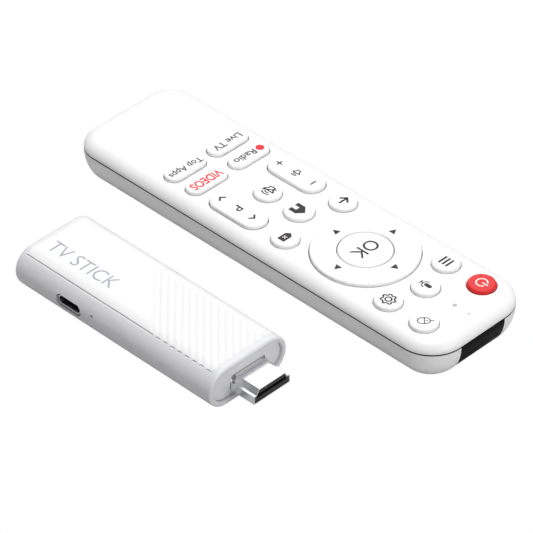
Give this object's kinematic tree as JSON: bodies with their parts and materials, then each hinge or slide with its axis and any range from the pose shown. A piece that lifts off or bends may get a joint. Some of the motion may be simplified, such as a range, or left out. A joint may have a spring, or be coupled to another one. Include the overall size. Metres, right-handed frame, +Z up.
{
  "type": "streaming media player",
  "caption": "Plug-in TV streaming stick with an HDMI plug and USB-C socket, and its slim hand-held remote control with a D-pad, rocker keys and shortcut keys.",
  "frame": {"origin": "centre of the pair's footprint, on the surface they lie on", "axes": "+X along both devices, towards the HDMI plug and the remote's infrared end; +Y from the stick to the remote; +Z up, out of the keys"},
  "size_m": [0.1436, 0.0886, 0.016],
  "materials": {
    "grey_shell": "light grey satin moulded ABS",
    "white_cover": "white satin moulded ABS with moulded ribs",
    "plug_metal": "nickel-plated steel stamping",
    "black_nylon": "black glass-filled nylon",
    "gold_contacts": "gold-plated copper alloy",
    "circuit_board": "green solder mask on glass-epoxy board",
    "chip_black": "black moulded epoxy",
    "shield_metal": "tin-plated steel",
    "thermal_silicone": "soft blue-grey thermal silicone",
    "sink_aluminium": "plain aluminium",
    "capacitor_tan": "ceramic",
    "screw_steel": "zinc-plated steel",
    "white_case": "white fine satin moulded ABS",
    "white_keys": "white matt moulded key caps",
    "red_key": "red matt moulded key cap",
    "ir_gloss": "infrared-passing gloss black polycarbonate",
    "led_dark": "dark tinted epoxy lens",
    "grey_silicone": "soft grey silicone",
    "spring_steel": "nickel-plated spring steel",
    "battery_jacket": "printed foil jacket over steel can"
  },
  "bodies": {
    "stick": {"stick_base_shell": "grey_shell", "stick_top_cover": "white_cover", "stick_end_cap": "grey_shell", "hdmi_plug_shell": "plug_metal", "hdmi_plug_insulator": "black_nylon", "hdmi_contacts": "gold_contacts", "stick_board": "circuit_board", "processor_chip": "chip_black", "memory_chips": "chip_black", "wifi_module": "shield_metal", "antenna": "gold_contacts", "thermal_pad": "thermal_silicone", "heat_sink": "sink_aluminium", "usb_c_shell": "plug_metal", "usb_c_tongue": "black_nylon", "reset_switch": "chip_black", "board_capacitors": "capacitor_tan", "stick_screws": "screw_steel"},
    "reset_plunger": {"reset_plunger": "chip_black"},
    "remote": {"remote_top_shell": "white_case", "remote_bottom_shell": "white_case", "ir_window": "ir_gloss", "ir_led": "led_dark", "remote_board": "circuit_board", "key_mat": "grey_silicone", "key_domes": "shield_metal", "remote_chip": "chip_black", "microphone": "gold_contacts", "indicator_led": "led_dark", "remote_screws": "screw_steel", "battery_contacts": "spring_steel", "battery_springs": "spring_steel", "batteries": "battery_jacket"},
    "battery_door": {"battery_door": "white_case"},
    "power_key": {"power_key": "red_key"},
    "mouse_key": {"mouse_key": "white_keys"},
    "menu_key": {"menu_key": "white_keys"},
    "settings_key": {"settings_key": "white_keys"},
    "voice_key": {"voice_key": "white_keys"},
    "back_key": {"back_key": "white_keys"},
    "delete_key": {"delete_key": "white_keys"},
    "home_key": {"home_key": "white_keys"},
    "mute_key": {"mute_key": "white_keys"},
    "ok_key": {"ok_key": "white_keys"},
    "app_key_1": {"app_key_1": "white_keys"},
    "app_key_2": {"app_key_2": "white_keys"},
    "app_key_3": {"app_key_3": "white_keys"},
    "app_key_4": {"app_key_4": "white_keys"},
    "dpad_pad": {"dpad_pad": "grey_silicone"},
    "dpad_ring": {"dpad_ring": "white_keys"},
    "volume_rocker": {"volume_rocker": "white_keys"},
    "channel_rocker": {"channel_rocker": "white_keys"}
  },
  "joints": [
    {"name": "remote_lift", "type": "slide", "parent": "stick", "child": "remote", "axis": [0, 0, 1], "range_m": [0, 0.12]},
    {"name": "battery_door_slide", "type": "slide", "parent": "remote", "child": "battery_door", "axis": [-1, 0, 0], "range_m": [0, 0.062]},
    {"name": "reset_press", "type": "slide", "parent": "stick", "child": "reset_plunger", "axis": [0, 1, 0], "range_m": [0, 0.00025], "stiffness_N_per_m": 400},
    {"name": "power_key_press", "type": "slide", "parent": "remote", "child": "power_key", "axis": [0, 0, -1], "range_m": [0, 0.0004], "stiffness_N_per_m": 250},
    {"name": "mouse_key_press", "type": "slide", "parent": "remote", "child": "mouse_key", "axis": [0, 0, -1], "range_m": [0, 0.0004], "stiffness_N_per_m": 250},
    {"name": "menu_key_press", "type": "slide", "parent": "remote", "child": "menu_key", "axis": [0, 0, -1], "range_m": [0, 0.0004], "stiffness_N_per_m": 250},
    {"name": "settings_key_press", "type": "slide", "parent": "remote", "child": "settings_key", "axis": [0, 0, -1], "range_m": [0, 0.0004], "stiffness_N_per_m": 250},
    {"name": "voice_key_press", "type": "slide", "parent": "remote", "child": "voice_key", "axis": [0, 0, -1], "range_m": [0, 0.0004], "stiffness_N_per_m": 250},
    {"name": "back_key_press", "type": "slide", "parent": "remote", "child": "back_key", "axis": [0, 0, -1], "range_m": [0, 0.0004], "stiffness_N_per_m": 250},
    {"name": "delete_key_press", "type": "slide", "parent": "remote", "child": "delete_key", "axis": [0, 0, -1], "range_m": [0, 0.0004], "stiffness_N_per_m": 250},
    {"name": "home_key_press", "type": "slide", "parent": "remote", "child": "home_key", "axis": [0, 0, -1], "range_m": [0, 0.0004], "stiffness_N_per_m": 250},
    {"name": "mute_key_press", "type": "slide", "parent": "remote", "child": "mute_key", "axis": [0, 0, -1], "range_m": [0, 0.0004], "stiffness_N_per_m": 250},
    {"name": "ok_key_press", "type": "slide", "parent": "remote", "child": "ok_key", "axis": [0, 0, -1], "range_m": [0, 0.0004], "stiffness_N_per_m": 250},
    {"name": "app_key_1_press", "type": "slide", "parent": "remote", "child": "app_key_1", "axis": [0, 0, -1], "range_m": [0, 0.0004], "stiffness_N_per_m": 250},
    {"name": "app_key_2_press", "type": "slide", "parent": "remote", "child": "app_key_2", "axis": [0, 0, -1], "range_m": [0, 0.0004], "stiffness_N_per_m": 250},
    {"name": "app_key_3_press", "type": "slide", "parent": "remote", "child": "app_key_3", "axis": [0, 0, -1], "range_m": [0, 0.0004], "stiffness_N_per_m": 250},
    {"name": "app_key_4_press", "type": "slide", "parent": "remote", "child": "app_key_4", "axis": [0, 0, -1], "range_m": [0, 0.0004], "stiffness_N_per_m": 250},
    {"name": "dpad_tip_side", "type": "hinge", "parent": "remote", "child": "dpad_pad", "pos_m": [0.02705, 0.0239, 0.0136], "axis": [1, 0, 0], "range_deg": [-1.2, 1.2], "stiffness_Nm_per_rad": 0.05},
    {"name": "dpad_tip_front", "type": "hinge", "parent": "dpad_pad", "child": "dpad_ring", "pos_m": [0.02705, 0.0239, 0.0136], "axis": [0, 1, 0], "range_deg": [-1.2, 1.2], "stiffness_Nm_per_rad": 0.05},
    {"name": "volume_rock", "type": "hinge", "parent": "remote", "child": "volume_rocker", "pos_m": [-0.01135, 0.0357, 0.0136], "axis": [0, 1, 0], "range_deg": [-1.6, 1.6], "stiffness_Nm_per_rad": 0.03},
    {"name": "channel_rock", "type": "hinge", "parent": "remote", "child": "channel_rocker", "pos_m": [-0.01135, 0.0121, 0.0136], "axis": [0, 1, 0], "range_deg": [-1.6, 1.6], "stiffness_Nm_per_rad": 0.03}
  ]
}
